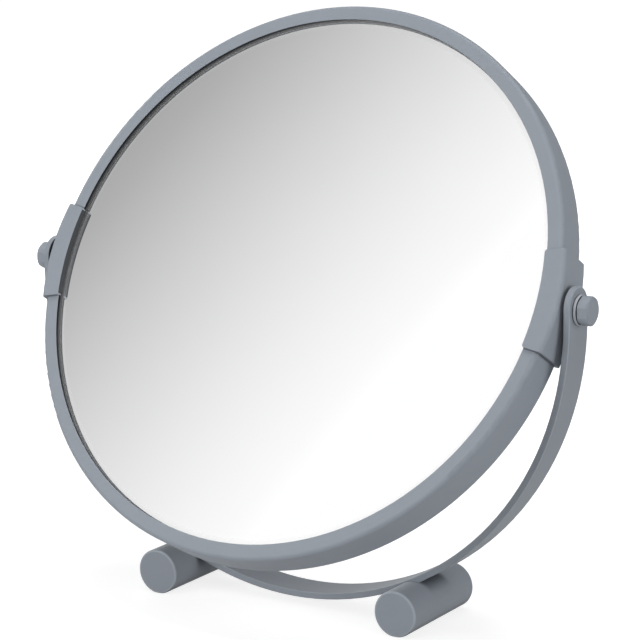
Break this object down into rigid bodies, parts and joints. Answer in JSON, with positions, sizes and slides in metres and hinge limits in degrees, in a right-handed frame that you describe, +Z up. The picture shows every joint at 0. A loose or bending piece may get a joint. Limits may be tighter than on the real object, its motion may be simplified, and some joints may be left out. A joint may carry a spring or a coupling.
{
  "type": "tilting two-sided mirror",
  "caption": "Round two-sided cosmetic mirror in a painted channel rim, tilting on side bolts between the arms of a flat-bar hoop that stands on cylindrical feet.",
  "frame": {"origin": "on the table under the middle of the pivot axis", "axes": "+X along the pivot axis to the viewer's right, +Y away from the viewer who faces the flat mirror, +Z up"},
  "size_m": [0.195, 0.096, 0.1795],
  "materials": {
    "rim_paint": "satin",
    "sleeve_paint": "satin",
    "hoop_paint": "satin",
    "foot_paint": "satin",
    "bolt_paint": "satin",
    "flat_mirror": "polished",
    "magnifying_mirror": "polished",
    "spacer_nylon": "matte",
    "core_plastic": "matte",
    "core_card": "matte",
    "plate_steel": "satin",
    "gasket_rubber": "matte"
  },
  "bodies": {
    "stand": {"hoop": "hoop_paint", "left_foot": "foot_paint", "right_foot": "foot_paint", "left_foot_rivet": "hoop_paint", "right_foot_rivet": "hoop_paint"},
    "head": {"upper_rim": "rim_paint", "lower_rim": "rim_paint", "front_glass": "flat_mirror", "rear_glass": "magnifying_mirror", "front_gasket": "gasket_rubber", "rear_gasket": "gasket_rubber", "core_ring": "core_plastic", "core_pad": "core_card", "left_sleeve": "sleeve_paint", "right_sleeve": "sleeve_paint", "left_nut_plate": "plate_steel", "right_nut_plate": "plate_steel", "left_spacer": "spacer_nylon", "right_spacer": "spacer_nylon", "left_washer": "bolt_paint", "right_washer": "bolt_paint", "left_pivot_bolt": "bolt_paint", "right_pivot_bolt": "bolt_paint"}
  },
  "joints": [
    {"name": "head_tilt", "type": "hinge", "parent": "stand", "child": "head", "pos_m": [0, 0, 0.09973], "axis": [1, 0, 0], "continuous": true}
  ]
}
